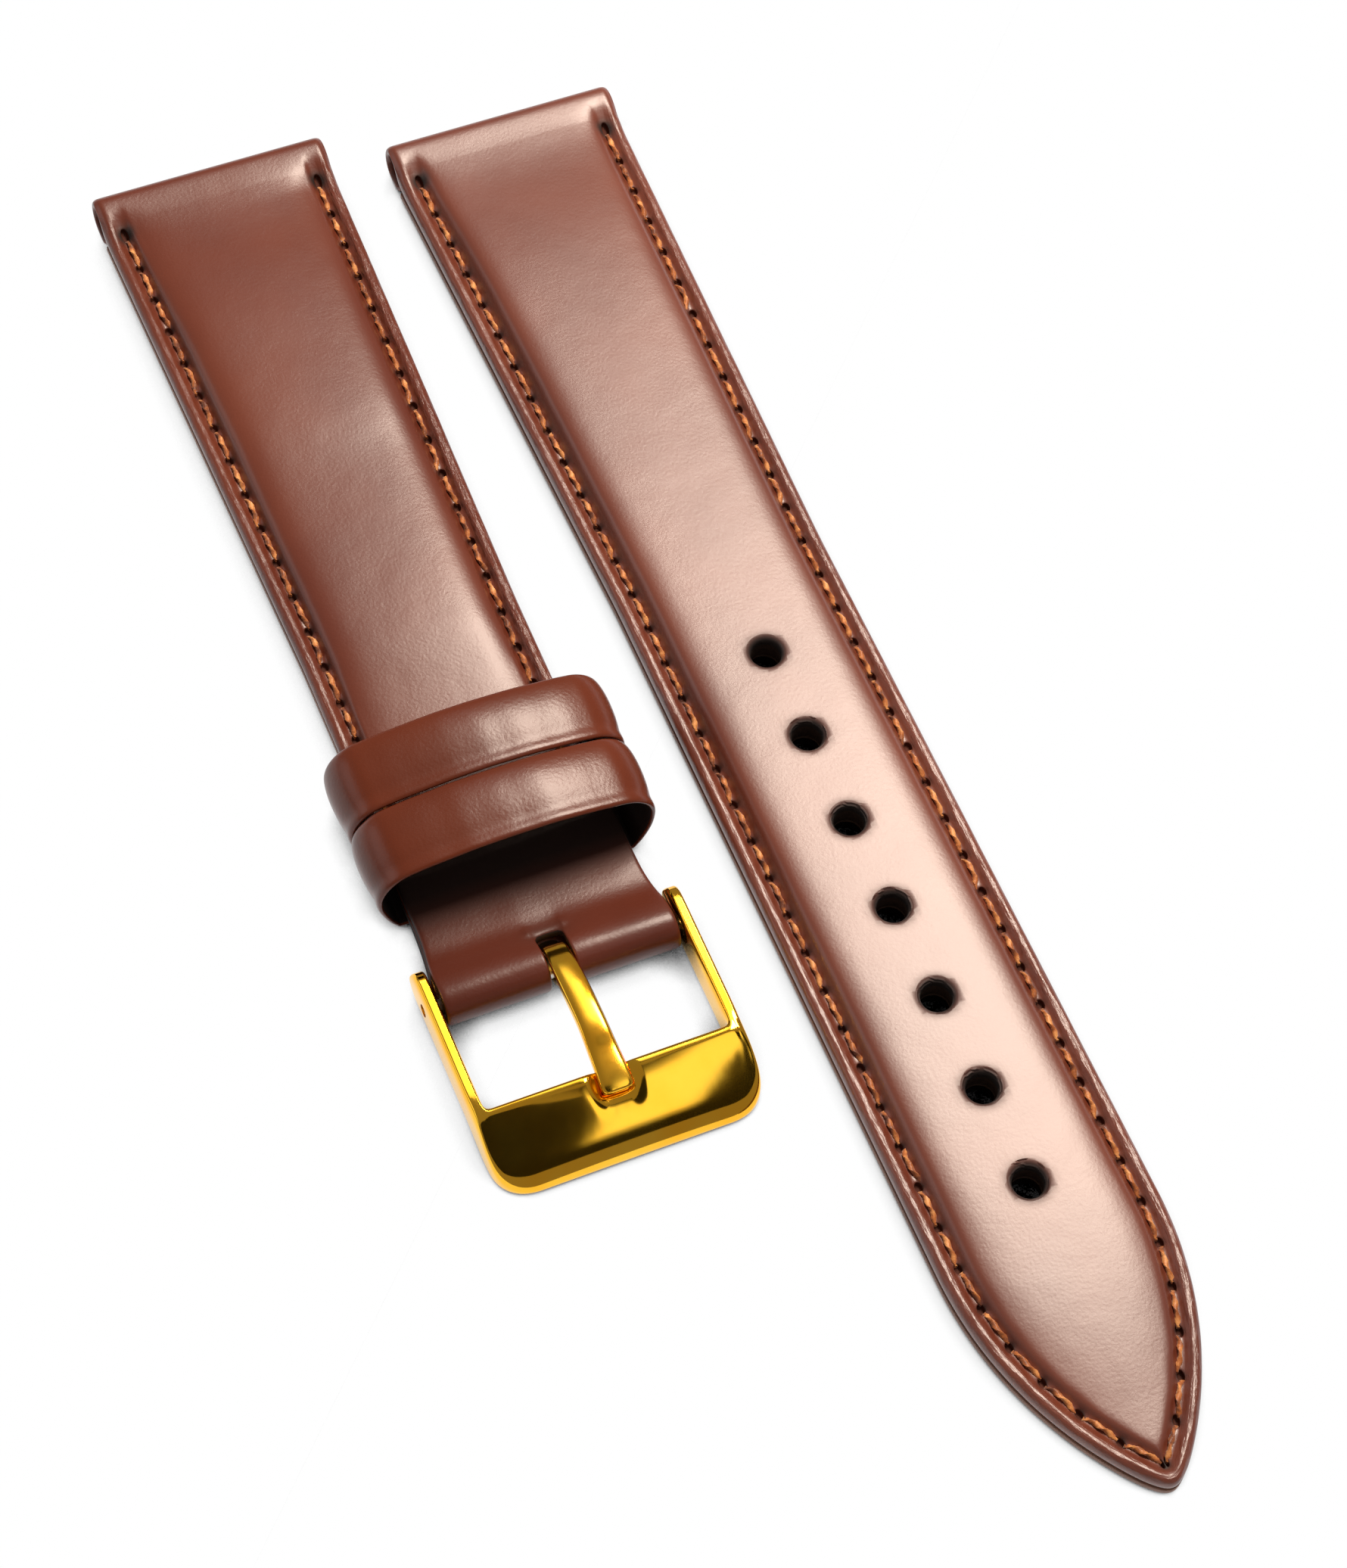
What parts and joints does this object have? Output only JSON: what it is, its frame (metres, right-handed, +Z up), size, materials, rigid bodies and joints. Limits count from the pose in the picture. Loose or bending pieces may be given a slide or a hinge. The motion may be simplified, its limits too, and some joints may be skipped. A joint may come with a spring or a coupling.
{
  "type": "leather watch strap",
  "caption": "Two-piece padded leather watch strap laid flat, with stitched edges, adjustment holes, keepers and a gilt tang buckle on a spring bar.",
  "frame": {"origin": "on the surface that the strap lies on, under the middle of the pair", "axes": "+X across the straps, +Y along them towards the watch, +Z up"},
  "size_m": [0.0418, 0.1196, 0.008],
  "materials": {
    "top_leather": "smooth waxed reddish-brown leather with a soft gloss",
    "keeper_leather": "glossy brown leather",
    "lining": "matte brown lining leather",
    "padding": "dark brown felt padding, seen only inside the adjustment holes",
    "tape": "woven stretch-proof tape, hidden",
    "thread": "waxed orange-tan twisted thread",
    "gilt": "polished gold-coloured metal",
    "steel": "plain steel"
  },
  "bodies": {
    "buckle_strap": {"short_top_leather": "top_leather", "short_padding": "padding", "short_stretch_tape": "tape", "short_lining": "lining", "short_needle_thread": "thread", "short_bobbin_thread": "thread", "buckle_tab": "top_leather", "fixed_keeper": "keeper_leather", "spring_bar_tube": "steel", "spring_bar_spring": "steel"},
    "free_keeper": {"free_keeper": "keeper_leather"},
    "buckle_frame": {"buckle_frame": "gilt"},
    "buckle_tongue": {"buckle_tongue": "gilt"},
    "spring_bar_pin_left": {"spring_bar_pin_left": "steel"},
    "spring_bar_pin_right": {"spring_bar_pin_right": "steel"},
    "tail_strap": {"tail_top_leather": "top_leather", "tail_padding": "padding", "tail_stretch_tape": "tape", "tail_lining": "lining", "tail_needle_thread": "thread", "tail_bobbin_thread": "thread"}
  },
  "joints": [
    {"name": "free_keeper_slide", "type": "slide", "parent": "buckle_strap", "child": "free_keeper", "axis": [0, 1, 0], "range_m": [0, 0.02]},
    {"name": "buckle_frame_swing", "type": "hinge", "parent": "buckle_strap", "child": "buckle_frame", "pos_m": [-0.0106, -0.0119, 0.00175], "axis": [-1, 0, 0], "range_deg": [-80, 25]},
    {"name": "tongue_lift", "type": "hinge", "parent": "buckle_frame", "child": "buckle_tongue", "pos_m": [-0.0106, -0.0119, 0.00175], "axis": [-1, 0, 0], "range_deg": [0, 75]},
    {"name": "pin_left_press", "type": "slide", "parent": "buckle_strap", "child": "spring_bar_pin_left", "axis": [1, 0, 0], "range_m": [0, 0.001], "stiffness_N_per_m": 600, "springref_m": -0.001, "deforming": ["spring_bar_spring"]},
    {"name": "pin_right_press", "type": "slide", "parent": "buckle_strap", "child": "spring_bar_pin_right", "axis": [-1, 0, 0], "range_m": [0, 0.001], "stiffness_N_per_m": 600, "springref_m": -0.001, "deforming": ["spring_bar_spring"]},
    {"name": "tail_lift", "type": "slide", "parent": "buckle_strap", "child": "tail_strap", "axis": [0, 0, 1], "range_m": [0, 0.03]}
  ]
}
